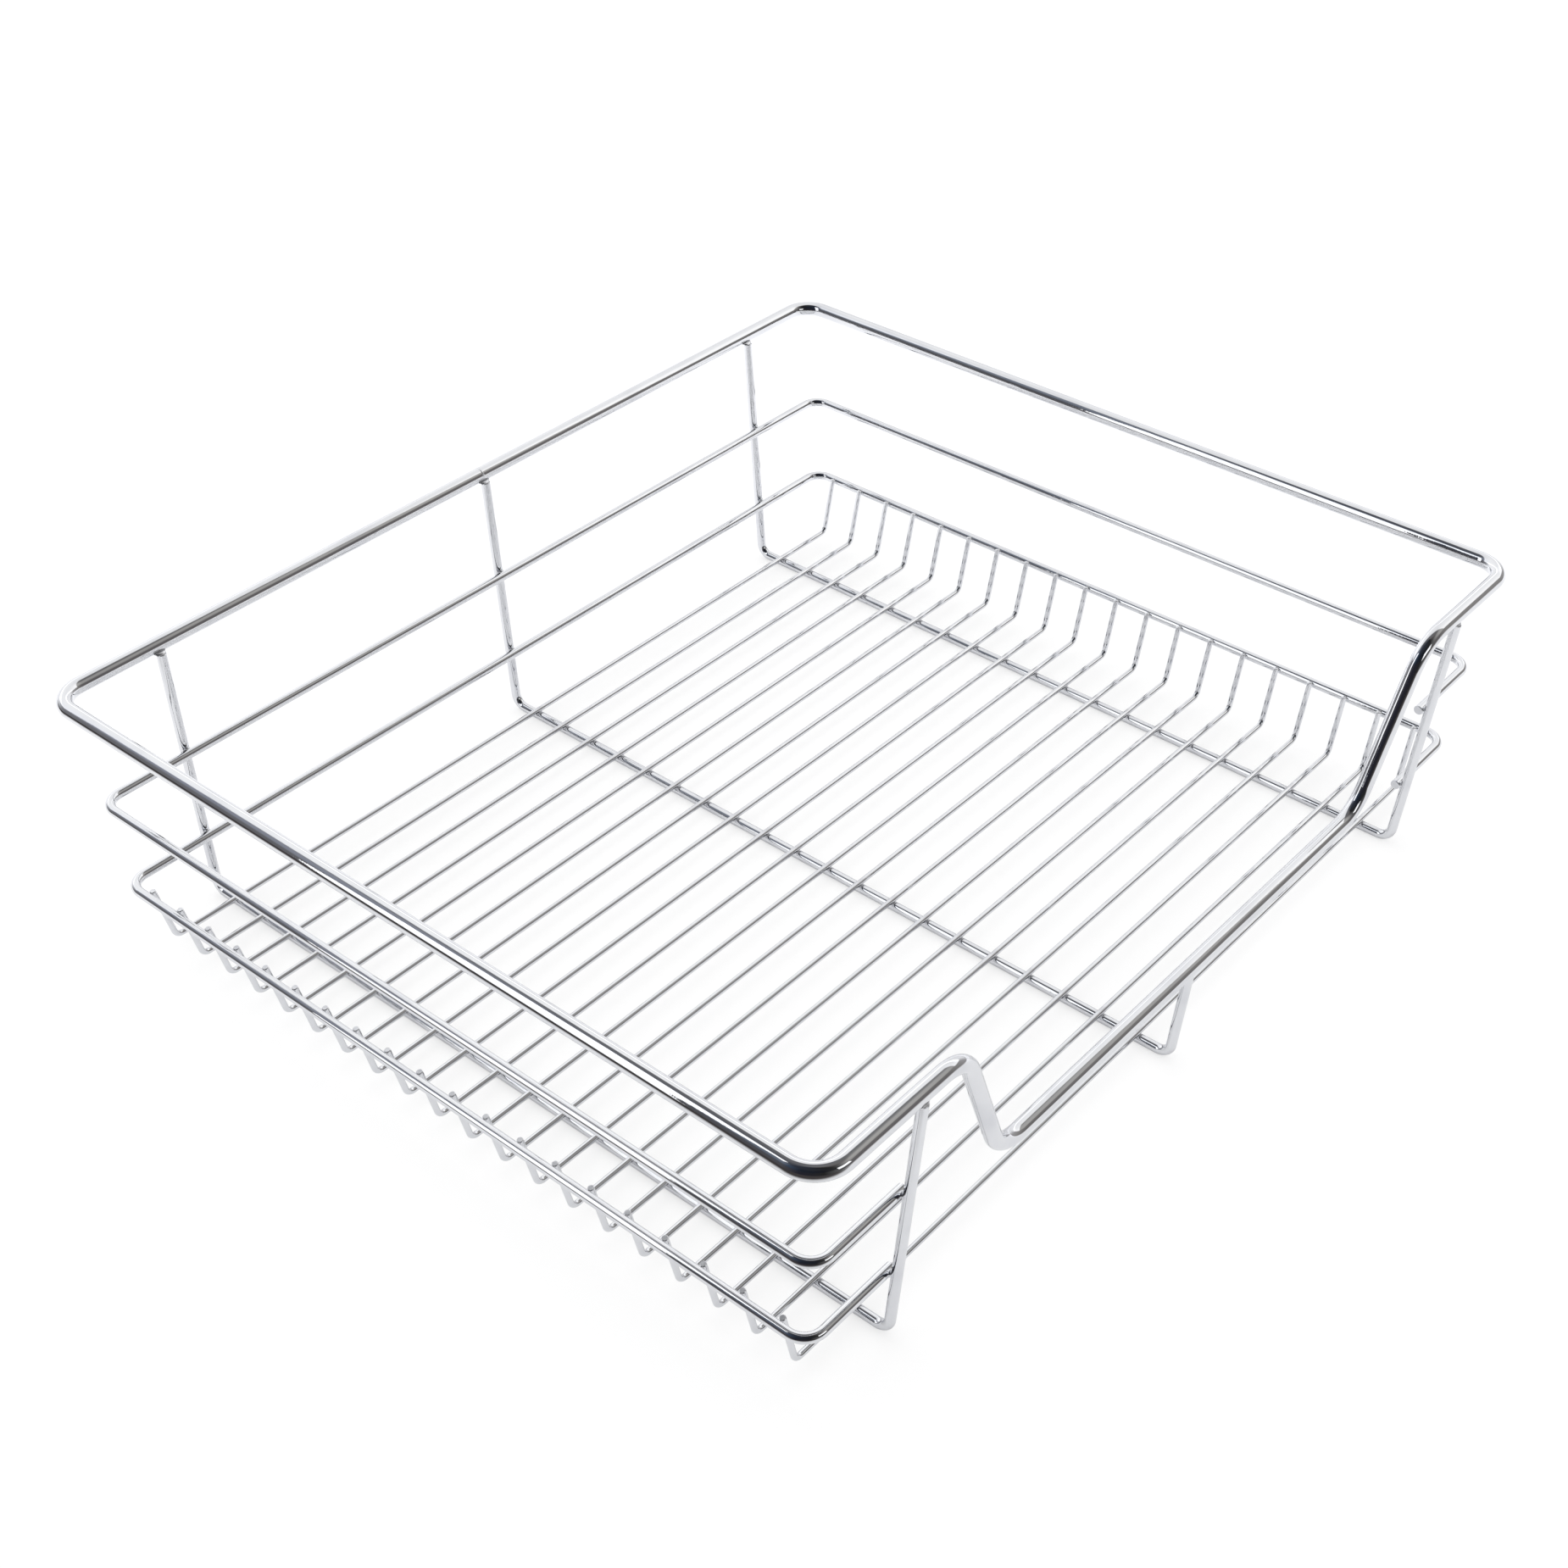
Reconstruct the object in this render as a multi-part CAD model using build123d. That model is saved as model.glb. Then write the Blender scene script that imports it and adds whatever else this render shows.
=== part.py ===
from build123d import *
import math
import os

# A bare welded wire basket for a cabinet. +X is to the right seen from the front, the dip in the
# rim faces -Y, +Z is up and the ribs stand on Z = 0. All sizes are in millimetres.

# Wire diameters.
rim_wire = 8.0
frame_wire = 5.0
base_wire = 3.0

# The rim, measured along the middle of its wire.
rim_width = 540.0
rim_depth = 458.0
rim_height = 144.0
rim_corner_radius = 15.0

# The dip at the front of the rim.
dip_height = 60.5
dip_slope = 35.0
dip_radius = 22.0

# The ribs are U-shaped wires that run from front to back under the basket.
rib_side_inset = 58.0
rib_radius = 7.0
upright_lean = 11.0
upright_drop = 2.5
rib_top_inset = 1.0
rib_forward = 3.4

# The hoops run round the back and both sides and return a short way along the front.
middle_hoop_height = 87.0
middle_hoop_inset = 5.75
lower_hoop_height = 38.0
lower_hoop_inset = 7.5
hoop_radius = 10.0

# The base wires run from side to side and turn up inside the lower hoop.
base_count = 20
base_end_gap = 17.5
base_lean = 7.5
base_radius = 4.5
base_tip = 2.0

# Clearances and small features.
weld_sink = 0.3
dip_rib_gap = 29.0
end_break = 0.3

# Heights and offsets that follow from the sizes above.
rib_height = frame_wire / 2
base_height = rib_height + frame_wire / 2 + base_wire / 2 - weld_sink
upright_rise = rim_height - rib_height
upright_slope = math.atan2(upright_lean, upright_rise)
rib_x = rim_width / 2 - rib_side_inset
dip_top_x = rib_x - dip_rib_gap
dip_bottom_x = dip_top_x - dip_slope

# The front uprights stand a little in front of the rim, so the whole basket is moved back to
# keep its outer box centred on Y = 0.
rib_top_depth = rim_depth - 2 * rib_top_inset
top_end_lean = upright_drop * math.tan(upright_slope)
upright_reach = rib_top_depth / 2 + rib_forward - top_end_lean + frame_wire / 2 * math.cos(upright_slope)
rim_reach = rim_depth / 2 + rim_wire / 2
rim_y = max(upright_reach - rim_reach, 0) / 2
rib_y = rim_y - rib_forward
rib_foot_depth = rib_top_depth - 2 * upright_lean


def upright_y(side, height):
    # Where the middle of an upright stands at a height; side is 1 at the back and -1 at the front.
    lean = (height - rib_height) * math.tan(upright_slope)
    return rib_y + side * (rib_foot_depth / 2 + lean)


def wire(points, radii, diameter, closed=False):
    # A round wire along straight runs joined by circular bends. Every point has a bend radius,
    # and the two ends of an open wire have none.
    points = [Vector(*point) for point in points]
    count = len(points)
    starts = []
    ends = []
    bends = []
    for index, corner in enumerate(points):
        if not closed and index in (0, count - 1):
            starts.append(corner)
            ends.append(corner)
            continue
        back = (points[index - 1] - corner).normalized()
        ahead = (points[(index + 1) % count] - corner).normalized()
        half_angle = back.get_angle(ahead) / 2
        reach = radii[index] / math.tan(math.radians(half_angle))
        centre = corner + (back + ahead).normalized() * (radii[index] / math.sin(math.radians(half_angle)))
        starts.append(corner + back * reach)
        ends.append(corner + ahead * reach)
        # The bend turns about an axis through its centre, square to both straight runs.
        section = Plane(origin=starts[index], z_dir=back) * Circle(diameter / 2)
        axis = Axis(centre, ahead.cross(back))
        bends.append(revolve(section, axis, 180 - 2 * half_angle))
    runs = []
    for index in range(count if closed else count - 1):
        first = ends[index]
        last = starts[(index + 1) % count]
        section = Plane(origin=first, z_dir=last - first) * Circle(diameter / 2)
        runs.append(extrude(section, (last - first).length))
    solid = Part() + runs + bends
    if not closed:
        for tip in (points[0], points[-1]):
            rings = solid.edges().filter_by(GeomType.CIRCLE)
            solid = chamfer(rings.sort_by_distance(tip)[0], end_break)
    return solid


def build_rim():
    # One closed loop whose front drops to a low bar in line with the front uprights.
    side = rim_width / 2
    back = rim_y + rim_depth / 2
    front = rim_y - rim_depth / 2
    low = upright_y(-1, dip_height)
    points = [
        (-side, back, rim_height),
        (side, back, rim_height),
        (side, front, rim_height),
        (dip_top_x, front, rim_height),
        (dip_bottom_x, low, dip_height),
        (-dip_bottom_x, low, dip_height),
        (-dip_top_x, front, rim_height),
        (-side, front, rim_height),
    ]
    radii = [rim_corner_radius] * 3 + [dip_radius] * 4 + [rim_corner_radius]
    return wire(points, radii, rim_wire, closed=True)


def build_rib(x, front_height):
    # A rib ends just under the middle of the rim wire at the back, and under front_height at the front.
    back_top = rim_height - upright_drop
    front_top = front_height - upright_drop
    points = [
        (x, upright_y(1, back_top), back_top),
        (x, upright_y(1, rib_height), rib_height),
        (x, upright_y(-1, rib_height), rib_height),
        (x, upright_y(-1, front_top), front_top),
    ]
    return wire(points, [0, rib_radius, rib_radius, 0], frame_wire)


def build_hoop(height, inset):
    # A hoop lies against the inner side of the uprights and ends level with their inner edges.
    side = rim_width / 2 - inset
    beside = (frame_wire - weld_sink) / math.cos(upright_slope)
    back = upright_y(1, height) - beside
    front = upright_y(-1, height) + beside
    end = rib_x - frame_wire / 2
    points = [
        (-end, front, height),
        (-side, front, height),
        (-side, back, height),
        (side, back, height),
        (side, front, height),
        (end, front, height),
    ]
    return wire(points, [0] + [hoop_radius] * 4 + [0], frame_wire)


def build_base_wire(y):
    # Both ends lean outwards against the inner side of the lower hoop.
    slope = math.atan2(base_lean, lower_hoop_height - base_height)
    beside = (frame_wire / 2 + base_wire / 2 - weld_sink) / math.cos(slope)
    weld_x = rim_width / 2 - lower_hoop_inset - beside
    foot = weld_x - base_lean
    tip = weld_x + base_tip * math.tan(slope)
    tip_height = lower_hoop_height + base_tip
    points = [
        (-tip, y, tip_height),
        (-foot, y, base_height),
        (foot, y, base_height),
        (tip, y, tip_height),
    ]
    return wire(points, [0, base_radius, base_radius, 0], base_wire)


# Wires sink a little into each other where they are welded. One wire of each pair is shaped to
# the other there, so that the two meet face to face.
rim = build_rim()
ribs = {
    "left_rib": build_rib(-rib_x, rim_height) - rim,
    "centre_rib": build_rib(0, dip_height) - rim,
    "right_rib": build_rib(rib_x, rim_height) - rim,
}
rib_solids = list(ribs.values())
lower_hoop = build_hoop(lower_hoop_height, lower_hoop_inset) - rib_solids
middle_hoop = build_hoop(middle_hoop_height, middle_hoop_inset) - rib_solids

nodes = {"rim": rim, "middle_hoop": middle_hoop, "lower_hoop": lower_hoop}
nodes.update(ribs)

# The base wires are spread evenly between the back and front bends of the ribs.
base_pitch = (rib_foot_depth - 2 * base_end_gap) / (base_count - 1)
first_y = rib_y + rib_foot_depth / 2 - base_end_gap
for number in range(base_count):
    laid_wire = build_base_wire(first_y - number * base_pitch)
    nodes[f"base_wire_{number + 1:02d}"] = laid_wire - rib_solids - lower_hoop

os.makedirs("parts", exist_ok=True)
for name, node in nodes.items():
    solid = node.solid()
    solid.label = name
    export_step(solid, f"parts/{name}.step")
    box = solid.bounding_box()
    print(f"{name}: {box.size.X:.1f} x {box.size.Y:.1f} x {box.size.Z:.1f} mm, {solid.volume:.0f} mm3")
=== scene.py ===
import math
import random
import bmesh
import bpy
from mathutils import Euler, Matrix, Vector


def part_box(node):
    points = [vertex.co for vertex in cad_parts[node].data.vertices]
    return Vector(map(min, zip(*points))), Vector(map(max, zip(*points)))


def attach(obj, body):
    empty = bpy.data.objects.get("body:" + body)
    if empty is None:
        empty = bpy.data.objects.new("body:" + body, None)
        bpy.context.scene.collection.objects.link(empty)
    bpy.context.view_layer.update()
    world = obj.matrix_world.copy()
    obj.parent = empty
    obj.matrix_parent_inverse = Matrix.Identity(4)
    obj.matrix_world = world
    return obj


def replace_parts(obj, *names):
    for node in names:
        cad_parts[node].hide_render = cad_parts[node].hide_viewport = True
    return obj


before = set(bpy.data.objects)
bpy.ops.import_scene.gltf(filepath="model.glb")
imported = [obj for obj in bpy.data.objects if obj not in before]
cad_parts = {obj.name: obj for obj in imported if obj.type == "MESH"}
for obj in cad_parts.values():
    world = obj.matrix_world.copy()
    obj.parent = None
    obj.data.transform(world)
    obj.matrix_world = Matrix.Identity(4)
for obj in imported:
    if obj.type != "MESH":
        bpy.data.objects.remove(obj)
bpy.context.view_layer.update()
dice = random.Random(21)  # every run gives the same small unevenness
print("frame loaded:", len(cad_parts), "wires")


def addNode(tree, kind, x, y, **settings):
    node = tree.nodes.new(kind)
    node.location = (x, y)
    for name, value in settings.items():
        setattr(node, name, value)
    return node


def feed(tree, socket, value):
    # An output of another node is linked, and a plain value is set
    if isinstance(value, bpy.types.NodeSocket):
        tree.links.new(value, socket)
    elif socket.type == "RGBA":
        socket.default_value = (*value, 1)
    else:
        socket.default_value = value


def mathNode(tree, operation, x, y, first, second=None):
    node = addNode(tree, "ShaderNodeMath", x, y, operation=operation)
    feed(tree, node.inputs[0], first)
    if second is not None:
        feed(tree, node.inputs[1], second)
    return node.outputs[0]


def vectorNode(tree, operation, x, y, first, second=None):
    node = addNode(tree, "ShaderNodeVectorMath", x, y, operation=operation)
    feed(tree, node.inputs[0], first)
    if second is not None:
        feed(tree, node.inputs[1], second)
    return node.outputs["Value" if operation in ("DOT_PRODUCT", "LENGTH") else "Vector"]


def splitNode(tree, x, y, vector):
    node = addNode(tree, "ShaderNodeSeparateXYZ", x, y)
    feed(tree, node.inputs[0], vector)
    return node.outputs


def joinNode(tree, x, y, parts):
    node = addNode(tree, "ShaderNodeCombineXYZ", x, y)
    for socket, part in zip(node.inputs, parts):
        feed(tree, socket, part)
    return node.outputs[0]


def rangeNode(tree, x, y, source, fromRange, toRange=(0, 1), soft=False):
    node = addNode(tree, "ShaderNodeMapRange", x, y, interpolation_type="SMOOTHSTEP" if soft else "LINEAR")
    for label, value in zip(("From Min", "From Max", "To Min", "To Max"), (*fromRange, *toRange)):
        node.inputs[label].default_value = value
    feed(tree, node.inputs["Value"], source)
    return node.outputs["Result"]


def noiseNode(tree, x, y, place, size, detail, rough):
    node = addNode(tree, "ShaderNodeTexNoise", x, y)
    node.inputs["Detail"].default_value = detail
    node.inputs["Roughness"].default_value = rough
    feed(tree, node.inputs["Scale"], size)
    feed(tree, node.inputs["Vector"], place)
    return node.outputs["Fac"]


def rampNode(tree, x, y, source, stops):
    node = addNode(tree, "ShaderNodeValToRGB", x, y)
    ramp = node.color_ramp
    while len(ramp.elements) < len(stops):
        ramp.elements.new(0.5)
    for element, (place, shade) in zip(ramp.elements, stops):
        element.position = place
        element.color = (*shade, 1)
    feed(tree, node.inputs["Fac"], source)
    return node.outputs["Color"]


def mixNode(tree, x, y, factor, first, second):
    node = addNode(tree, "ShaderNodeMix", x, y, data_type="RGBA")
    feed(tree, node.inputs["Factor"], factor)
    feed(tree, node.inputs[6], first)  # its colours are sockets 6 and 7
    feed(tree, node.inputs[7], second)
    return node.outputs[2]


camera = {
    "spot": (-0.70687, -0.57949, 0.75611),
    "turn": (52.3832, -0.2121, -49.6980),  # degrees
    "lens": 52.526,
    "sensor": 36,
    "near": 0.05,
    "far": 60,
}


def setCamera():
    lens = bpy.data.cameras.new("basketCamera")
    lens.sensor_width = camera["sensor"]
    lens.lens = camera["lens"]
    lens.clip_start = camera["near"]
    lens.clip_end = camera["far"]
    stand = bpy.data.objects.new("basketCamera", lens)
    stand.location = camera["spot"]
    stand.rotation_euler = Euler([math.radians(angle) for angle in camera["turn"]])
    bpy.context.scene.collection.objects.link(stand)
    bpy.context.scene.camera = stand


setCamera()
print("camera set")


# The studio is dark on the camera's side and bright behind the basket
farWay = Vector((0.72, 0.70, 0)).normalized()  # level, from the camera to the far side
overheadBox = {"size": (1.81, 4.4), "near": 0.26, "height": 1.14, "level": 0.74, "softEdge": 0.08}
sideBox = {"size": (0.43, 1.35), "spot": (-0.918, 0.50, 0.80), "level": 1.15, "leaning": 15}
frontBox = {"size": (0.62, 0.42), "spot": (0.05, -1.30, 0.70), "level": 1.15}  # only the bends show it


def hangSoftbox(name, box, spot, aim):
    wide, tall = box["size"]
    lamp = bpy.data.lights.new(name, "AREA")
    lamp.shape = "RECTANGLE"
    lamp.size = wide
    lamp.size_y = tall
    lamp.energy = box["level"] * math.pi * wide * tall  # so that the cloth itself looks level bright
    stand = bpy.data.objects.new(name, lamp)
    stand.location = spot
    stand.rotation_euler = aim
    stand.visible_camera = False
    bpy.context.scene.collection.objects.link(stand)
    return lamp


def softenEdge(lamp, share):
    # The cloth of the overhead box is dimmer towards its near edge
    lamp.use_nodes = True
    tree = lamp.node_tree
    tree.nodes.clear()
    across = addNode(tree, "ShaderNodeNewGeometry", -600, 0).outputs["Parametric"]
    fromNear = splitNode(tree, -400, 0, across)["X"]
    cloth = addNode(tree, "ShaderNodeEmission", 0, 0)
    feed(tree, cloth.inputs["Strength"], rangeNode(tree, -200, 0, fromNear, (0, share), soft=True))
    output = addNode(tree, "ShaderNodeOutputLight", 200, 0)
    feed(tree, output.inputs["Surface"], cloth.outputs[0])


def lightStudio():
    reach = overheadBox["near"] + overheadBox["size"][0] / 2
    middle = farWay * reach + Vector((0, 0, overheadBox["height"]))
    turned = Euler((0, 0, math.atan2(farWay.y, farWay.x)))
    softenEdge(hangSoftbox("overheadSoftbox", overheadBox, middle, turned), overheadBox["softEdge"])
    tilted = Euler((math.radians(90 - sideBox["leaning"]), 0, -math.pi / 2))
    hangSoftbox("sideSoftbox", sideBox, sideBox["spot"], tilted)
    hangSoftbox("frontSoftbox", frontBox, frontBox["spot"], Euler((math.pi / 2, 0, 0)))


# What the metal sees round the room, by azimuth in degrees: 0 is behind the basket, 90 to its right
room = {
    "fill": (1.0, 1.0, 1.0),      # what the room adds to matt surfaces
    "middleRise": (0.40, 0.54),   # the walls turn darker where the overhead softbox begins
    "topRise": (0.72, 0.90),      # and they end at the ceiling
    "low": [
        (-180, (0.10, 0.10, 0.10)), (-150, (0.02, 0.02, 0.02)), (-100, (0.02, 0.02, 0.03)),
        (-70, (0.06, 0.06, 0.07)), (-48, (0.13, 0.13, 0.14)), (-30, (0.25, 0.25, 0.27)),
        (-18, (0.45, 0.46, 0.48)), (0, (1.00, 1.00, 1.02)), (30, (1.05, 1.05, 1.06)),
        (60, (0.91, 0.91, 0.92)), (78, (0.90, 0.90, 0.91)), (98, (0.38, 0.37, 0.37)),
        (128, (0.25, 0.24, 0.23)), (145, (0.15, 0.14, 0.14)), (180, (0.08, 0.08, 0.08))],
    "middle": [
        (-180, (0.03, 0.03, 0.03)), (-150, (0.012, 0.013, 0.018)), (-100, (0.015, 0.02, 0.03)),
        (-68, (0.05, 0.07, 0.11)), (-48, (0.21, 0.23, 0.27)), (-28, (0.27, 0.28, 0.33)),
        (-10, (0.25, 0.26, 0.28)), (30, (0.28, 0.28, 0.28)), (60, (0.20, 0.20, 0.21)),
        (90, (0.26, 0.26, 0.26)), (115, (0.42, 0.41, 0.40)), (135, (0.42, 0.41, 0.39)),
        (150, (0.30, 0.29, 0.28)), (165, (0.12, 0.12, 0.12)), (180, (0.03, 0.03, 0.03))],
    "top": [
        (-180, (0.02, 0.02, 0.02)), (-70, (0.03, 0.035, 0.05)), (-45, (0.07, 0.075, 0.09)),
        (0, (0.13, 0.13, 0.14)), (60, (0.16, 0.16, 0.17)), (100, (0.15, 0.15, 0.15)),
        (135, (0.16, 0.15, 0.15)), (180, (0.02, 0.02, 0.02))],
}


def paintRoom():
    # Polished metal sees a shade for each direction, matt surfaces an even fill, and the camera white
    world = bpy.data.worlds.new("studioRoom")
    bpy.context.scene.world = world
    world.use_nodes = True
    tree = world.node_tree
    tree.nodes.clear()
    way = splitNode(tree, -1200, -200, addNode(tree, "ShaderNodeTexCoord", -1400, 0).outputs["Generated"])
    azimuth = mathNode(tree, "ARCTAN2", -1000, 100, way["X"], way["Y"])
    turns = mathNode(tree, "ADD", -600, 100, mathNode(tree, "DIVIDE", -800, 100, azimuth, math.tau), 0.5)

    def band(name, y):
        return rampNode(tree, -400, y, turns, [(angle / 360 + 0.5, shade) for angle, shade in room[name]])

    toMiddle = rangeNode(tree, -400, -500, way["Z"], room["middleRise"], soft=True)
    walls = mixNode(tree, -100, 200, toMiddle, band("low", 400), band("middle", 100))
    toTop = rangeNode(tree, -100, -350, way["Z"], room["topRise"], soft=True)
    shown = mixNode(tree, 100, 0, toTop, walls, band("top", -200))

    path = addNode(tree, "ShaderNodeLightPath", -100, 500)
    withMetal = mixNode(tree, 300, 200, path.outputs["Is Glossy Ray"], room["fill"], shown)
    seen = mixNode(tree, 500, 300, path.outputs["Is Camera Ray"], withMetal, (1, 1, 1))
    background = addNode(tree, "ShaderNodeBackground", 700, 300)
    feed(tree, background.inputs["Color"], seen)
    output = addNode(tree, "ShaderNodeOutputWorld", 900, 300)
    feed(tree, output.inputs["Surface"], background.outputs[0])


floor = {
    "half": 9.0,
    "paint": (0.93, 0.93, 0.93),
    "glow": 0.62,                        # how far the picture's floor is lifted towards white
    "sheetLeft": (-0.64, -0.40),         # where the lit sheet ends on the left
    "sheetSlant": 0.55,                  # how far that edge turns towards the camera in front
    "sheetFront": (-1.35, -0.95),        # and where it ends in front of the basket
    "sheetAway": (-0.1, 0.6),            # from the sheet's near shade to its far one, along farWay
    # Painted light and shade: lighter floor where the softboxes light it, darker where their light falls
    # off
    "paintedLightNear": (0.74, 0.74, 0.75),     # shades that polished metal sees
    "paintedLightFar": (0.84, 0.84, 0.86),
    "besides": (-0.6, 0.9),              # from the left shade beside the sheet to the right one
    "paintedShadeLeft": (0.05, 0.045, 0.045),
    "paintedShadeRight": (0.42, 0.41, 0.41),
}


def mixPaintedFloorLight(tree):
    # What polished metal sees of the floor: a painted lit sheet under the basket, and painted shade besides
    spot = addNode(tree, "ShaderNodeTexCoord", -1200, 0).outputs["Object"]
    split = splitNode(tree, -1000, 200, spot)
    ahead = mathNode(tree, "MINIMUM", -1400, 300, split["Y"], 0.0)
    slanted = mathNode(tree, "MULTIPLY", -1200, 300, ahead, floor["sheetSlant"])
    across = mathNode(tree, "ADD", -1000, 400, split["X"], slanted)
    fromLeft = rangeNode(tree, -800, 0, across, floor["sheetLeft"], soft=True)
    fromFront = rangeNode(tree, -800, 300, split["Y"], floor["sheetFront"], soft=True)
    onSheet = mathNode(tree, "MULTIPLY", -500, 100, fromLeft, fromFront)
    away = rangeNode(tree, -800, -300, vectorNode(tree, "DOT_PRODUCT", -1000, -200, spot, farWay),
                     floor["sheetAway"], soft=True)
    sheet = mixNode(tree, -500, -300, away, floor["paintedLightNear"], floor["paintedLightFar"])
    rightness = rangeNode(tree, -800, 600, split["X"], floor["besides"], soft=True)
    besides = mixNode(tree, -500, 500, rightness, floor["paintedShadeLeft"], floor["paintedShadeRight"])
    return mixNode(tree, -300, 0, onSheet, besides, sheet)


def paintFloor():
    paint = bpy.data.materials.new("paleFloorPaint")
    paint.use_nodes = True
    tree = paint.node_tree
    tree.nodes.clear()
    path = addNode(tree, "ShaderNodeLightPath", -300, 300)
    # Polished metal sees the floor's painted light and shade; other rays see its even paint
    colour = mixNode(tree, -100, 0, path.outputs["Is Glossy Ray"], floor["paint"], mixPaintedFloorLight(tree))
    matt = addNode(tree, "ShaderNodeBsdfDiffuse", 100, 0)
    feed(tree, matt.inputs["Color"], colour)
    glow = addNode(tree, "ShaderNodeEmission", 100, -150)
    blended = addNode(tree, "ShaderNodeMixShader", 300, 100)
    lift = mathNode(tree, "MULTIPLY", 100, 250, path.outputs["Is Camera Ray"], floor["glow"])
    for socket, source in zip(blended.inputs, (lift, matt.outputs[0], glow.outputs[0])):
        feed(tree, socket, source)
    output = addNode(tree, "ShaderNodeOutputMaterial", 500, 100)
    feed(tree, output.inputs["Surface"], blended.outputs[0])
    return paint


def layFloor():
    half = floor["half"]
    plane = bmesh.new()
    corners = ((-half, -half, 0), (half, -half, 0), (half, half, 0), (-half, half, 0))
    plane.faces.new([plane.verts.new(corner) for corner in corners])
    mesh = bpy.data.meshes.new("paleFloor")
    plane.to_mesh(mesh)
    plane.free()
    mesh.materials.append(paintFloor())
    table = bpy.data.objects.new("paleFloor", mesh)
    bpy.context.scene.collection.objects.link(table)


bpy.context.scene.view_settings.view_transform = "Standard"
lightStudio()
paintRoom()
layFloor()
print("studio lit")


# Sizes of the basket are in metres, and places are along the middle of each wire
bending = {"arcStep": 5.0, "runStep": 0.02, "endBreak": 0.0003}  # arcStep in degrees
weldSink = 0.0003  # how deep welded wires sink into each other
runMap = "alongWire"  # turns round the wire, and metres along it


def walkWire(points, bends, side):
    # Stations along straight runs and round bends: place, direction, side direction, metres so far
    points = [Vector(point) for point in points]
    here, side, travelled, stations = points[0], Vector(side), 0.0, []
    for index in range(1, len(points)):
        corner, bend = points[index], bends[index]
        way = (corner - points[index - 1]).normalized()
        last = index == len(points) - 1
        ahead = way if last else (points[index + 1] - corner).normalized()
        turn = 0.0 if last else way.angle(ahead)
        runEnd = corner - way * bend * math.tan(turn / 2)
        length = (runEnd - here).length
        steps = max(1, round(length / bending["runStep"]))
        for step in range(steps + last):
            share = step / steps
            stations.append((here.lerp(runEnd, share), way, side, travelled + length * share))
        travelled += length
        if last:
            break
        axis = way.cross(ahead).normalized()
        middle = runEnd + axis.cross(way) * bend
        steps = math.ceil(math.degrees(turn) / bending["arcStep"])
        for step in range(steps):
            angle = turn * step / steps
            turned = Matrix.Rotation(angle, 3, axis)
            stations.append((middle + turned @ (runEnd - middle), turned @ way, turned @ side,
                             travelled + bend * angle))
        turned = Matrix.Rotation(turn, 3, axis)
        here = middle + turned @ (runEnd - middle)
        side = turned @ side
        travelled += bend * turn
    return stations


def breakEnds(rings):
    # Both ends of an open wire have a small chamfer
    small = bending["endBreak"]
    for end, inward, beside in ((0, 1, 1), (-1, -1, -1)):
        place, way, across, run, radius = rings[end]
        rings[end] = (place, way, across, run, radius - small)
        rings.insert(beside, (place + way * small * inward, way, across, run + small * inward, radius))


def addRing(shell, ring, sides):
    place, way, across, _, radius = ring
    other = way.cross(across)
    angles = [math.tau * (step + 0.5) / sides for step in range(sides)]
    return [shell.verts.new(place + (across * math.cos(angle) + other * math.sin(angle)) * radius)
            for angle in angles]


def skinWire(rings, sides, lengthOverall, closed):
    # Faces between the rings and over the ends, mapped along the wire
    shell = bmesh.new()
    runLayer = shell.loops.layers.uv.new(runMap)
    circles = [addRing(shell, ring, sides) for ring in rings]
    starts = [ring[3] for ring in rings]
    stops = starts[1:] + [lengthOverall]
    stretches = len(circles) if closed else len(circles) - 1

    def addFace(corners, spots, cutEnd):
        face = shell.faces.new(corners)
        face.smooth = True
        face.material_index = 1 if cutEnd else 0
        for loop, spot in zip(face.loops, spots):
            loop[runLayer].uv = spot

    for index in range(stretches):
        here, there = circles[index], circles[(index + 1) % len(circles)]
        start, stop = starts[index], stops[index]
        chamfer = not closed and index in (0, stretches - 1)
        for step in range(sides):
            after = (step + 1) % sides
            left, right = (step + 0.5) / sides, (step + 1.5) / sides
            addFace((here[step], here[after], there[after], there[step]),
                    ((left, start), (right, start), (right, stop), (left, stop)), chamfer)
    if not closed:
        for circle, order, at in ((circles[0], -1, 0.0), (circles[-1], 1, lengthOverall)):
            addFace(circle[::order], [((step + 0.5) / sides, at) for step in range(sides)][::order], True)
        for circle in (circles[0], circles[1], circles[-2], circles[-1]):
            for step in range(sides):
                shell.edges.get((circle[step], circle[(step + 1) % sides])).smooth = False
    return shell


def addPiece(name, shell, materials):
    mesh = bpy.data.meshes.new(name)
    shell.to_mesh(mesh)
    shell.free()
    for material in materials:
        mesh.materials.append(material)
    piece = bpy.data.objects.new(name, mesh)
    bpy.context.scene.collection.objects.link(piece)
    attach(piece, "root")
    return piece


def drawWire(node, shape, points, bends, side, finish, closed=False):
    # A round wire in place of a CAD node, fine enough for clean reflections
    rings = [(*station, shape["radius"]) for station in walkWire(points, bends, side)]
    lengthOverall = rings[-1][3]
    if closed:
        rings.pop()
        materials = [chrome[finish]]
    else:
        breakEnds(rings)
        materials = [chrome[finish], chrome["cutEndChrome"]]
    shell = skinWire(rings, shape["sides"], lengthOverall, closed)
    name = node.replace("_", " ").title().replace(" ", "") + "Drawn"
    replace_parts(addPiece(name, shell, materials), node)


rimShape = {"radius": 0.004, "sides": 40, "width": 0.540, "depth": 0.458, "height": 0.144, "corner": 0.015,
            "dipHeight": 0.0605, "dipInset": 0.029, "dipSlope": 0.035, "dipBend": 0.022}
ribShape = {"radius": 0.0025, "sides": 32, "inset": 0.058, "bend": 0.007, "lean": 0.011, "drop": 0.0025,
            "topInset": 0.001, "forward": 0.0034}

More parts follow.
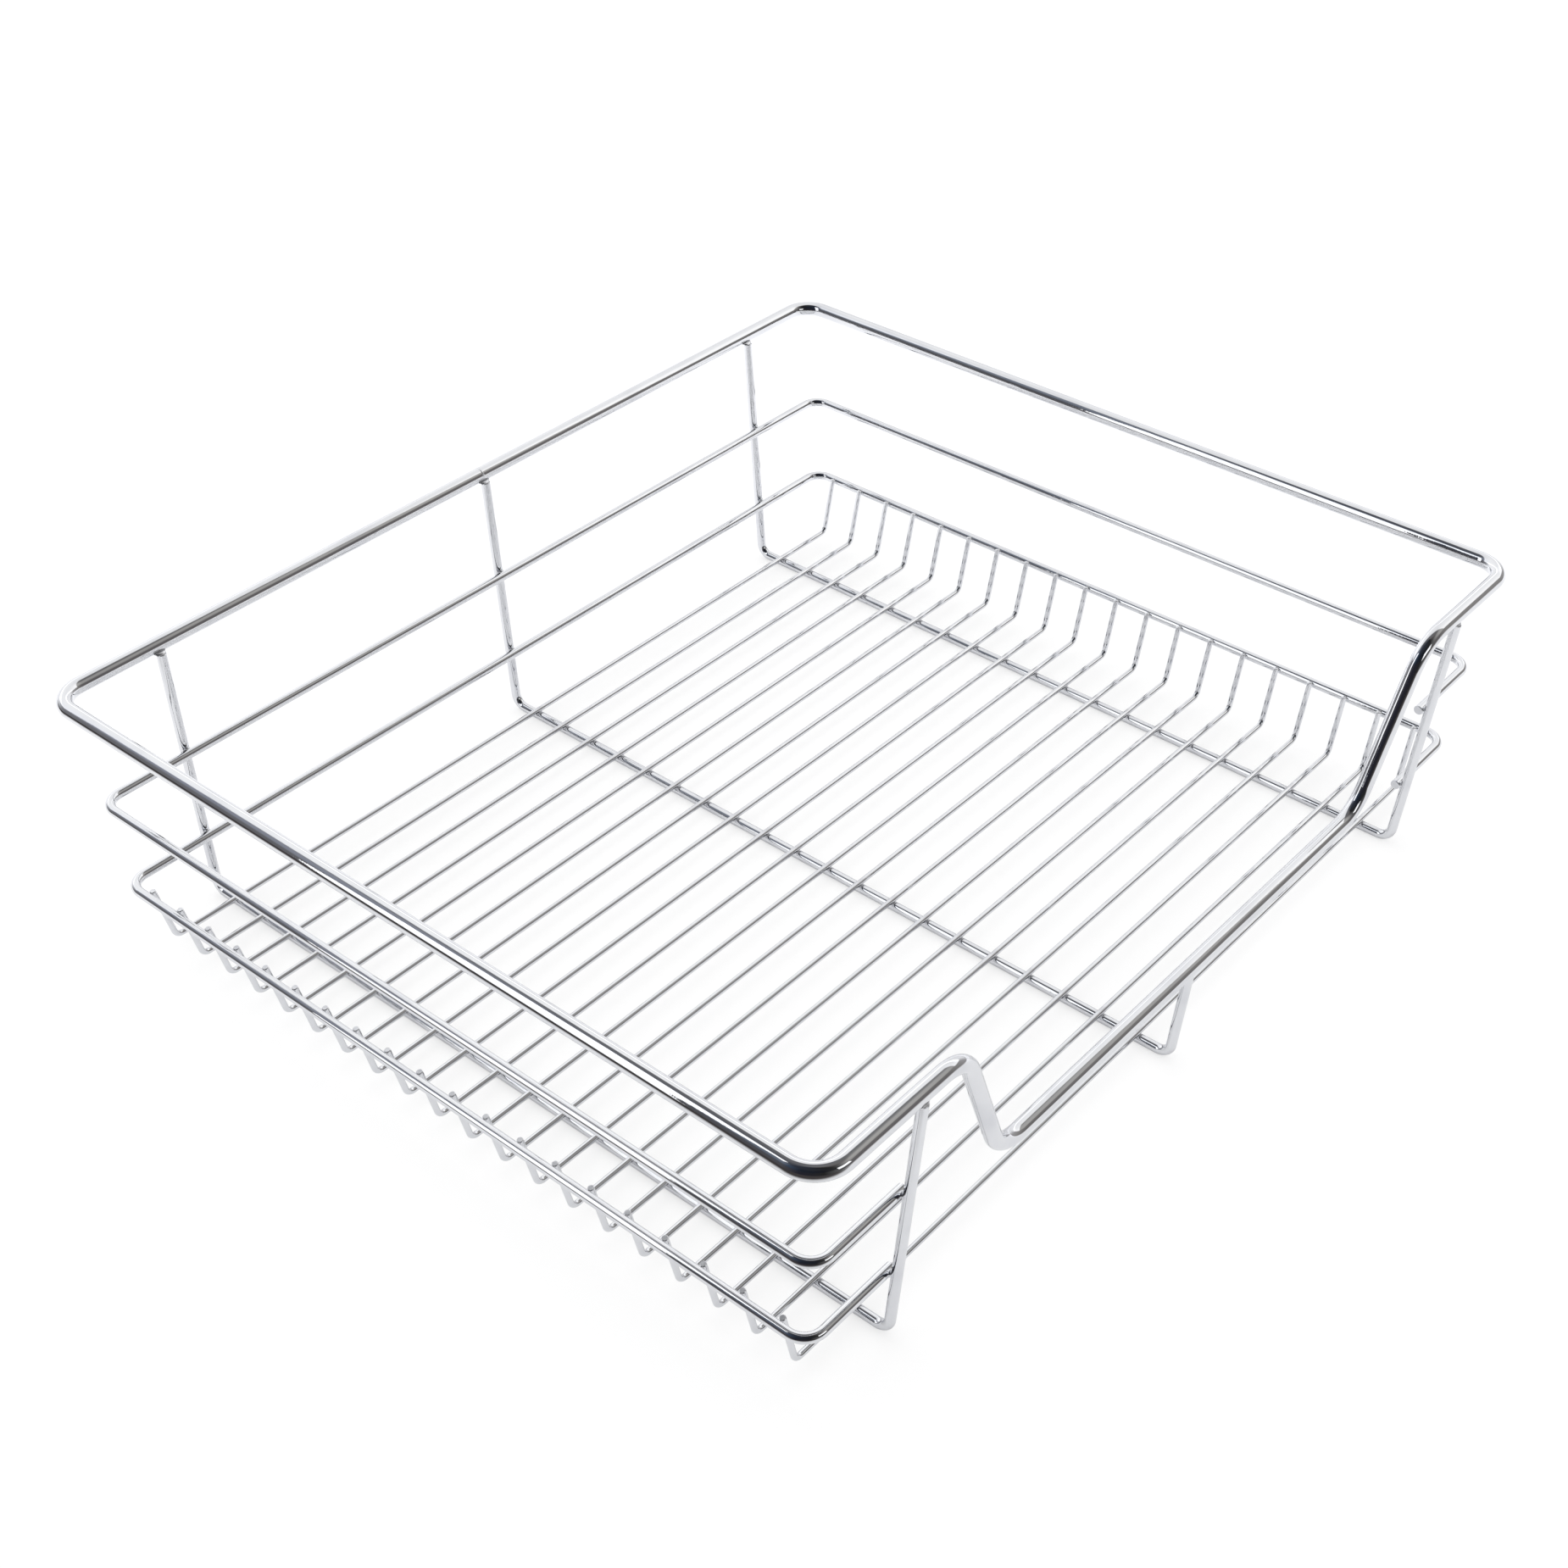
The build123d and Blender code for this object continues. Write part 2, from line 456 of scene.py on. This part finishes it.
# The uprights lean outwards, and stand a little forward of the rim; the outer box is centred in depth
ribX = rimShape["width"] / 2 - ribShape["inset"]
ribPlaces = (-ribX, 0, ribX)
footReach = rimShape["depth"] / 2 - ribShape["topInset"] - ribShape["lean"]
uprightSlope = ribShape["lean"] / (rimShape["height"] - ribShape["radius"])
uprightCosine = math.cos(math.atan(uprightSlope))
uprightReach = (footReach + ribShape["lean"] + ribShape["forward"] - ribShape["drop"] * uprightSlope
                + ribShape["radius"] * uprightCosine)
rimMiddle = (uprightReach - rimShape["depth"] / 2 - rimShape["radius"]) / 2
rimBack = rimMiddle + rimShape["depth"] / 2
rimFront = rimMiddle - rimShape["depth"] / 2
ribMiddle = rimMiddle - ribShape["forward"]
ribTop = rimShape["height"] - ribShape["drop"]
lowRibTop = rimShape["dipHeight"] - ribShape["drop"]  # the centre rib ends under the bar of the dip


def uprightAt(side, height):
    # Where the middle of an upright stands: side is 1 at the back and -1 at the front
    return ribMiddle + side * (footReach + (height - ribShape["radius"]) * uprightSlope)


def bendRim():
    side, high, low = rimShape["width"] / 2, rimShape["height"], rimShape["dipHeight"]
    dipTop = ribX - rimShape["dipInset"]
    dipBottom = dipTop - rimShape["dipSlope"]
    bar = uprightAt(-1, low)
    seam = (0, rimBack, high)  # the loop starts and ends where its wire is butt welded
    points = [seam, (side, rimBack, high), (side, rimFront, high), (dipTop, rimFront, high),
              (dipBottom, bar, low), (-dipBottom, bar, low),
              (-dipTop, rimFront, high), (-side, rimFront, high), (-side, rimBack, high), seam]
    corner, dip = rimShape["corner"], rimShape["dipBend"]
    bends = [0, corner, corner, dip, dip, dip, dip, corner, corner, 0]
    drawWire("rim", rimShape, points, bends, (0, 0, 1), "rimChrome", closed=True)


def bendRibs():
    foot, bend = ribShape["radius"], ribShape["bend"]
    frontTops = (ribTop, lowRibTop, ribTop)
    for node, x, frontTop in zip(("left_rib", "centre_rib", "right_rib"), ribPlaces, frontTops):
        points = [(x, uprightAt(1, ribTop), ribTop), (x, uprightAt(1, foot), foot),
                  (x, uprightAt(-1, foot), foot), (x, uprightAt(-1, frontTop), frontTop)]
        drawWire(node, ribShape, points, [0, bend, bend, 0], (1, 0, 0), "ribChrome")


hoopShape = {"radius": 0.0025, "sides": 32, "bend": 0.010,
             "middle_hoop": {"height": 0.087, "inset": 0.00575},
             "lower_hoop": {"height": 0.038, "inset": 0.0075}}


def hoopSide(node):
    return rimShape["width"] / 2 - hoopShape[node]["inset"]


def bendHoops():
    # The hoops lie against the inner side of the uprights and end level with their inner edges
    end, bend = ribX - ribShape["radius"], hoopShape["bend"]
    beside = (ribShape["radius"] + hoopShape["radius"] - weldSink) / uprightCosine
    for node in ("middle_hoop", "lower_hoop"):
        high, side = hoopShape[node]["height"], hoopSide(node)
        back = uprightAt(1, high) - beside
        front = uprightAt(-1, high) + beside
        points = [(-end, front, high), (-side, front, high), (-side, back, high),
                  (side, back, high), (side, front, high), (end, front, high)]
        drawWire(node, hoopShape, points, [0, bend, bend, bend, bend, 0], (0, 0, 1),
                 "hoopChrome")


baseShape = {"radius": 0.0015, "sides": 24, "rows": 20, "endGap": 0.0175, "bend": 0.0045,
             "lean": 0.0075, "pastHoop": 0.002}

# The turned-up ends lean outwards against the inner side of the lower hoop
baseHeight = 2 * ribShape["radius"] + baseShape["radius"] - weldSink
tipRise = hoopShape["lower_hoop"]["height"] - baseHeight
tipSlope = baseShape["lean"] / tipRise
firstRow = ribMiddle + footReach - baseShape["endGap"]
rowPitch = 2 * (footReach - baseShape["endGap"]) / (baseShape["rows"] - 1)
rowPlaces = [firstRow - number * rowPitch for number in range(baseShape["rows"])]


def bendBaseWires():
    beside = (hoopShape["radius"] + baseShape["radius"] - weldSink) / math.cos(math.atan(tipSlope))
    atHoop = hoopSide("lower_hoop") - beside
    foot = atHoop - baseShape["lean"]
    tip = atHoop + baseShape["pastHoop"] * tipSlope
    tipHeight = hoopShape["lower_hoop"]["height"] + baseShape["pastHoop"]
    bend = baseShape["bend"]
    for number, y in enumerate(rowPlaces, 1):
        points = [(-tip, y, tipHeight), (-foot, y, baseHeight), (foot, y, baseHeight), (tip, y, tipHeight)]
        drawWire(f"base_wire_{number:02d}", baseShape, points, [0, bend, bend, 0], (0, 1, 0),
                 "baseWireChrome")


def newGroup(name, inputs, outputs):
    group = bpy.data.node_groups.new(name, "ShaderNodeTree")
    for label, kind, value in inputs:
        socket = group.interface.new_socket(label, in_out="INPUT", socket_type=kind)
        socket.default_value = value
    for label, kind in outputs:
        group.interface.new_socket(label, in_out="OUTPUT", socket_type=kind)
    given = addNode(group, "NodeGroupInput", -1400, 0)
    result = addNode(group, "NodeGroupOutput", 900, 0)
    return group, given.outputs, result.inputs


drawnOut = 0.03  # lengths are squeezed this far, so that marks made with them are long and thin


def makeStraightGroup():
    # Where a point would be if its wire were straight: across, across, along
    group, given, result = newGroup(
        "straightenedWire", [("Radius", "NodeSocketFloat", ribShape["radius"])],
        [("Place", "NodeSocketVector"), ("Drawn", "NodeSocketVector")])
    run = addNode(group, "ShaderNodeUVMap", -1200, 300, uv_map=runMap)
    along = splitNode(group, -1000, 300, run.outputs["UV"])
    angle = mathNode(group, "MULTIPLY", -800, 400, along["X"], math.tau)
    cosine = mathNode(group, "COSINE", -600, 450, angle)
    sine = mathNode(group, "SINE", -600, 300, angle)
    across = mathNode(group, "MULTIPLY", -400, 450, cosine, given["Radius"])
    aside = mathNode(group, "MULTIPLY", -400, 300, sine, given["Radius"])
    place = joinNode(group, 0, 400, (across, aside, along["Y"]))
    feed(group, result["Place"], place)
    feed(group, result["Drawn"], vectorNode(group, "MULTIPLY", 300, 200, place, (1, 1, drawnOut)))
    return group


# Heights are in millimetres, and sizes are noise scales
platingMarks = {
    "ripple": {"height": 0.10, "detail": 1.0, "rough": 0.4},
    "peel": {"height": 0.012, "detail": 2.0, "rough": 0.5},
    "drawing": {"height": 0.006, "size": 1400.0, "detail": 2.0, "rough": 0.55},
    "pits": {"height": 0.004, "size": 230, "reach": (0.0, 0.08)},
    "patches": {"size": 30.0, "detail": 4.0, "rough": 0.5, "reach": (0.45, 0.75)},
}
platingShades = {"bright": (0.83, 0.84, 0.86), "dull": (0.74, 0.75, 0.78)}


def makePlatingGroup():
    # Bright plating: slow ripple, fine unevenness, drawing marks and pits, and patches a little less bright
    group, given, result = newGroup(
        "chromePlating",
        [("Place", "NodeSocketVector", (0, 0, 0)), ("Drawn", "NodeSocketVector", (0, 0, 0)),
         ("Ripple Size", "NodeSocketFloat", 60.0), ("Peel Size", "NodeSocketFloat", 500.0),
         ("Bright", "NodeSocketColor", (*platingShades["bright"], 1)),
         ("Dull", "NodeSocketColor", (*platingShades["dull"], 1))],
        [("Colour", "NodeSocketColor"), ("Patches", "NodeSocketFloat"), ("Height", "NodeSocketFloat")])

    def marksOf(name, y, place, size):
        marks = platingMarks[name]
        return noiseNode(group, -900, y, place, size, marks["detail"], marks["rough"])

    pits = addNode(group, "ShaderNodeTexVoronoi", -900, -500, feature="F1")
    pits.inputs["Scale"].default_value = platingMarks["pits"]["size"]
    feed(group, pits.inputs["Vector"], given["Place"])
    reliefs = {
        "ripple": marksOf("ripple", 400, given["Place"], given["Ripple Size"]),
        "peel": marksOf("peel", 150, given["Place"], given["Peel Size"]),
        "drawing": marksOf("drawing", -50, given["Drawn"], platingMarks["drawing"]["size"]),
        "pits": rangeNode(group, -650, -500, pits.outputs["Distance"], platingMarks["pits"]["reach"]),
    }
    height = 0.0
    for column, (name, relief) in enumerate(reliefs.items()):
        part = mathNode(group, "MULTIPLY", -600, 400 - 150 * column, relief, platingMarks[name]["height"])
        height = mathNode(group, "ADD", -400 + 150 * column, 300, height, part)
    clouds = marksOf("patches", -250, given["Place"], platingMarks["patches"]["size"])
    patches = rangeNode(group, -600, -250, clouds, platingMarks["patches"]["reach"], soft=True)
    feed(group, result["Colour"], mixNode(group, 200, -100, patches, given["Bright"], given["Dull"]))
    feed(group, result["Patches"], patches)
    feed(group, result["Height"], height)
    return group


weldGrey = {"reach": 0.0045, "fade": (0.35, 1.0), "share": 0.6, "shade": (0.62, 0.62, 0.64)}


def makeWeldHazeGroup():
    # The plating is greyer close to where the base wires are welded to the ribs
    group, given, result = newGroup(
        "weldHaze",
        [("First Row", "NodeSocketFloat", firstRow), ("Row Pitch", "NodeSocketFloat", rowPitch),
         ("Rib Spread", "NodeSocketFloat", ribX), ("Reach", "NodeSocketFloat", weldGrey["reach"])],
        [("Haze", "NodeSocketFloat")])
    spot = splitNode(group, -1200, 400, addNode(group, "ShaderNodeTexCoord", -1400, 400).outputs["Object"])

    def gapToNearest(y, distance, pitch):
        # How far a distance is from the nearest whole number of pitches
        places = mathNode(group, "DIVIDE", -800, y, distance, pitch)
        nearest = mathNode(group, "ROUND", -650, y + 100, places)
        off = mathNode(group, "SUBTRACT", -500, y, places, nearest)
        return mathNode(group, "MULTIPLY", -350, y, off, pitch)

    fromFirst = mathNode(group, "SUBTRACT", -1000, 500, spot["Y"], given["First Row"])
    rowGap = gapToNearest(500, fromFirst, given["Row Pitch"])
    ribGap = gapToNearest(200, spot["X"], given["Rib Spread"])
    rise = mathNode(group, "SUBTRACT", -350, -100, spot["Z"], 2 * ribShape["radius"])
    away = vectorNode(group, "LENGTH", 0, 300, joinNode(group, -150, 300, (ribGap, rowGap, rise)))
    share = mathNode(group, "DIVIDE", 200, 300, away, given["Reach"])
    feed(group, result["Haze"], rangeNode(group, 500, 300, share, weldGrey["fade"], (1, 0), soft=True))
    return group


chromeFinish = {
    "rimChrome": {"radius": rimShape["radius"], "ripple": 50, "peel": 450, "bump": 0.7,
                  "smooth": 0.03, "patchy": 0.055},
    "hoopChrome": {"radius": hoopShape["radius"], "ripple": 70, "peel": 550, "bump": 0.7,
                   "smooth": 0.03, "patchy": 0.06},
    "ribChrome": {"radius": ribShape["radius"], "ripple": 70, "peel": 550, "bump": 0.6,
                  "smooth": 0.03, "patchy": 0.06, "haze": 0.14},
    "baseWireChrome": {"radius": baseShape["radius"], "ripple": 90, "peel": 700, "bump": 0.4,
                       "smooth": 0.035, "patchy": 0.065, "haze": 0.14},
    "cutEndChrome": {"ripple": 300, "peel": 1400, "bump": 1.6, "smooth": 0.30, "patchy": 0.42},
    "weldChrome": {"ripple": 260, "peel": 900, "bump": 1.0, "smooth": 0.28, "patchy": 0.40},
}
millimetre = 0.001


def makeChrome(name, straightGroup, platingGroup, hazeGroup):
    finish = chromeFinish[name]
    material = bpy.data.materials.new(name)
    material.use_nodes = True
    tree = material.node_tree
    tree.nodes.clear()
    if "radius" in finish:
        run = addNode(tree, "ShaderNodeGroup", -1000, 200, node_tree=straightGroup)
        run.inputs["Radius"].default_value = finish["radius"]
        place, drawn = run.outputs["Place"], run.outputs["Drawn"]
    else:
        place = drawn = addNode(tree, "ShaderNodeTexCoord", -1000, 200).outputs["Object"]
    coat = addNode(tree, "ShaderNodeGroup", -700, 200, node_tree=platingGroup)
    for label, value in (("Place", place), ("Drawn", drawn),
                         ("Ripple Size", finish["ripple"]), ("Peel Size", finish["peel"])):
        feed(tree, coat.inputs[label], value)
    colour = coat.outputs["Colour"]
    rough = rangeNode(tree, -400, 0, coat.outputs["Patches"], (0, 1), (finish["smooth"], finish["patchy"]))
    if "haze" in finish:
        spots = addNode(tree, "ShaderNodeGroup", -700, -200, node_tree=hazeGroup)
        for label, value in (("First Row", firstRow), ("Row Pitch", rowPitch), ("Rib Spread", ribX)):
            spots.inputs[label].default_value = value
        duller = mathNode(tree, "MULTIPLY", -400, -250, spots.outputs["Haze"], finish["haze"])
        rough = mathNode(tree, "ADD", -150, -50, rough, duller)
        greyer = mathNode(tree, "MULTIPLY", -400, -400, spots.outputs["Haze"], weldGrey["share"])
        colour = mixNode(tree, -150, 250, greyer, colour, weldGrey["shade"])
    dents = addNode(tree, "ShaderNodeBump", -150, -250)
    dents.inputs["Strength"].default_value = finish["bump"]
    dents.inputs["Distance"].default_value = millimetre
    feed(tree, dents.inputs["Height"], coat.outputs["Height"])
    shader = addNode(tree, "ShaderNodeBsdfPrincipled", 200, 200)
    shader.inputs["Metallic"].default_value = 1
    feed(tree, shader.inputs["Base Color"], colour)
    feed(tree, shader.inputs["Roughness"], rough)
    feed(tree, shader.inputs["Normal"], dents.outputs["Normal"])
    output = addNode(tree, "ShaderNodeOutputMaterial", 500, 200)
    feed(tree, output.inputs["Surface"], shader.outputs[0])
    return material


effects = (makeStraightGroup(), makePlatingGroup(), makeWeldHazeGroup())
chrome = {name: makeChrome(name, *effects) for name in chromeFinish}
print("chrome made")
bendRim()
bendRibs()
bendHoops()
bendBaseWires()
print("wires bent")


# A weld's bead is a ring of slices that fills the corner between two wires
bead = {
    "steps": 18,
    "endSteps": 24,       # round an upright's end
    "curve": 4,           # steps across its hollow face
    "hollow": 0.35,       # 0 for a deeply hollow face, 1 for a nearly flat one
    "tuck": 0.00008,      # how far its edges are tucked into the wires
    "uneven": 0.16,
    "widest": 0.94,       # share of the way out to a wire's side
    "core": 0.5,          # where a slice's hidden point lies, as a share of the way out to its hollow face
    "halvings": 24,       # rounds of the search for a gap between the wires
}
acrossWay = Vector((1, 0, 0))
depthWay = Vector((0, 1, 0))
upWay = Vector((0, 0, 1))


def addSlice(shell, start, corner, end, inner):
    # A hollow curve from one wire to the other, and a point inside both
    points = []
    for step in range(bead["curve"] + 1):
        share = step / bead["curve"]
        points.append(start * (1 - share) ** 2 + corner * 2 * share * (1 - share) + end * share ** 2)
    return [shell.verts.new(point) for point in points + [inner]]


def closeSlices(shell, slices):
    for index, thisSlice in enumerate(slices):
        nextSlice = slices[(index + 1) % len(slices)]
        for step in range(len(thisSlice)):
            after = (step + 1) % len(thisSlice)
            shell.faces.new((thisSlice[step], nextSlice[step], nextSlice[after], thisSlice[after]))


def aroundBead(axis, steps):
    # Angles and directions square to the axis
    right = axis.orthogonal().normalized()
    ahead = axis.cross(right)
    for step in range(steps):
        angle = math.tau * step / steps
        yield angle, right * math.cos(angle) + ahead * math.sin(angle)


def crossedWeld(shell, spot, toward, alongA, radiusA, alongB, radiusB, throat):
    # Bead round the spot where two round wires cross; toward points from wire B to wire A
    toward = toward.normalized()
    acrossA = toward.cross(alongA).normalized()
    acrossB = toward.cross(alongB).normalized()
    turn = dice.uniform(0, math.tau)

    def lift(reach, slope, radius):
        # How far a wire's skin has curved away from the middle of the weld
        return radius - math.sqrt(max(radius ** 2 - (reach * slope) ** 2, 0)) - weldSink / 2

    slices = []
    for angle, way in aroundBead(toward, bead["steps"]):
        slopeA = abs(way.dot(acrossA))
        slopeB = abs(way.dot(acrossB))
        widest = bead["widest"] / max(slopeA / radiusA, slopeB / radiusB)

        def reachFor(gap):
            # How far out the two skins are this far apart
            low, high = 0.0, widest
            for _ in range(bead["halvings"]):
                reach = (low + high) / 2
                if lift(reach, slopeA, radiusA) + lift(reach, slopeB, radiusB) < gap:
                    low = reach
                else:
                    high = reach
            return low

        outer = reachFor(throat * (1 + bead["uneven"] * math.sin(2 * angle + turn)))
        touch = reachFor(0)
        liftA = lift(outer, slopeA, radiusA)
        liftB = lift(outer, slopeB, radiusB)
        onA = spot + way * outer + toward * (liftA + bead["tuck"])
        onB = spot + way * outer - toward * (liftB + bead["tuck"])
        corner = spot + way * (touch + (outer - touch) * bead["hollow"]) + toward * ((liftA - liftB) / 2)
        slices.append(addSlice(shell, onA, corner, onB, spot + way * touch * bead["core"]))
    closeSlices(shell, slices)


underRim = {"throat": 0.0011, "firstDrop": 0.0003, "lastDrop": 0.006, "dropStep": 0.00005,
            "cornerShare": 0.98, "coreShare": 0.4, "coreDrop": 0.0004}


def endWeld(shell, tip, down, axisPoint):
    # Bead round an upright's end where it stands against the rim, whose middle passes through axisPoint
    turn = dice.uniform(0, math.tau)

    def fromAxis(point):
        arm = point - axisPoint
        return arm - acrossWay * arm.dot(acrossWay)

    radius, rimRadius, tuck = ribShape["radius"], rimShape["radius"], bead["tuck"]
    slices = []
    for angle, way in aroundBead(down, bead["endSteps"]):
        spread = underRim["throat"] * (1 + bead["uneven"] * math.sin(2 * angle + turn))
        drop = underRim["firstDrop"]
        while drop < underRim["lastDrop"] and fromAxis(tip + way * radius + down * drop).length < rimRadius:
            drop += underRim["dropStep"]
        corner = tip + way * radius * underRim["cornerShare"] + down * drop
        foot = tip + way * (radius - tuck) + down * (drop + spread)
        outward = fromAxis(corner + way * spread)
        top = corner + way * spread - outward + outward.normalized() * (rimRadius - tuck)
        inner = tip + way * radius * underRim["coreShare"] + down * (drop / 2 + underRim["coreDrop"])
        slices.append(addSlice(shell, foot, corner, top, inner))
    closeSlices(shell, slices)


def finishWelds(name, shell):
    bmesh.ops.recalc_face_normals(shell, faces=shell.faces)
    for face in shell.faces:
        face.smooth = True
    addPiece(name, shell, [chrome["weldChrome"]])


baseWeld = {"ribThroat": 0.0008, "hoopThroat": 0.00035, "range": (0.85, 1.2)}
hoopWeld = {"throat": 0.0011, "range": (0.9, 1.15)}


def weldBaseToRibs():
    shell = bmesh.new()
    for y in rowPlaces:
        for x in ribPlaces:
            spot = Vector((x, y, 2 * ribShape["radius"] - weldSink / 2))
            crossedWeld(shell, spot, upWay, acrossWay, baseShape["radius"], depthWay, ribShape["radius"],
                        baseWeld["ribThroat"] * dice.uniform(*baseWeld["range"]))
    finishWelds("baseToRibWelds", shell)


def weldBaseToHoop():
    hoopX, hoopZ = hoopSide("lower_hoop"), hoopShape["lower_hoop"]["height"]
    lean = Vector((baseShape["lean"], 0, tipRise)).normalized()
    shell = bmesh.new()
    for y in rowPlaces:
        for side in (-1, 1):
            along = Vector((side * lean.x, 0, lean.z))
            outward = Vector((side * lean.z, 0, -lean.x))
            spot = Vector((side * hoopX, y, hoopZ)) - outward * (hoopShape["radius"] - weldSink / 2)
            crossedWeld(shell, spot, -outward, along, baseShape["radius"], depthWay, hoopShape["radius"],
                        baseWeld["hoopThroat"] * dice.uniform(*baseWeld["range"]))
    finishWelds("baseToHoopWelds", shell)


def weldHoopsToUprights():
    shell = bmesh.new()
    for node in ("middle_hoop", "lower_hoop"):
        height = hoopShape[node]["height"]
        for x in ribPlaces:
            for side in (-1, 1):
                if side < 0 and x == 0:
                    continue  # the hoops stop before the front's middle
                along = Vector((0, side * uprightSlope, 1)).normalized()
                level = Vector((0, -side, 0))
                wireMiddle = Vector((x, uprightAt(side, height), height))
                spot = wireMiddle + level * (ribShape["radius"] - weldSink / 2) / along.z
                crossedWeld(shell, spot, level, acrossWay, hoopShape["radius"], along, ribShape["radius"],
                            hoopWeld["throat"] * dice.uniform(*hoopWeld["range"]))
    finishWelds("hoopToUprightWelds", shell)


def weldUprightsToRim():
    shell = bmesh.new()
    for x in ribPlaces:
        for side in (-1, 1):
            rimY, rimZ, top = rimBack if side > 0 else rimFront, rimShape["height"], ribTop
            if side < 0 and x == 0:
                rimZ, top = rimShape["dipHeight"], lowRibTop
                rimY = uprightAt(-1, rimZ)
            tip = Vector((x, uprightAt(side, top), top))
            down = Vector((0, -side * uprightSlope, -1)).normalized()
            endWeld(shell, tip, down, Vector((0, rimY, rimZ)))
    finishWelds("uprightToRimWelds", shell)


# The profile gives shares of the bead's half width and height, and its sunk edges have no height
rimSeam = {"half": 0.0007, "raised": 0.00009, "steps": 40, "sunk": 0.00008, "core": 0.0006,
           "swell": 0.25, "swellTurns": 3, "swellStart": 1.3,
           "profile": [(-1.0, None), (-0.6, 0.55), (-0.2, 1.0), (0.25, 0.95), (0.65, 0.5), (1.0, None)]}


def wrapRimSeam():
    # The rim is one bent wire whose ends are butt welded at the middle of the back
    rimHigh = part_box("rim")[1]
    centre = Vector((0, rimBack, rimShape["height"]))
    shell = bmesh.new()
    slices = []
    for step in range(rimSeam["steps"]):
        angle = math.tau * step / rimSeam["steps"]
        out = Vector((0, math.cos(angle), math.sin(angle)))
        swell = 1 + rimSeam["swell"] * math.sin(rimSeam["swellTurns"] * angle + rimSeam["swellStart"])
        ring = []
        for share, height in rimSeam["profile"]:
            lifted = -rimSeam["sunk"] if height is None else height * rimSeam["raised"] * swell
            point = centre + out * (rimShape["radius"] + lifted) + acrossWay * share * rimSeam["half"]
            point.y = min(point.y, rimHigh.y)  # dressed flush at its top and outer side
            point.z = min(point.z, rimHigh.z)
            ring.append(shell.verts.new(point))
        ring.append(shell.verts.new(centre + out * (rimShape["radius"] - rimSeam["core"])))
        slices.append(ring)
    closeSlices(shell, slices)
    finishWelds("rimSeam", shell)


weldBaseToRibs()
weldBaseToHoop()
weldHoopsToUprights()
weldUprightsToRim()
wrapRimSeam()
print("welds laid")

print("scene ready")
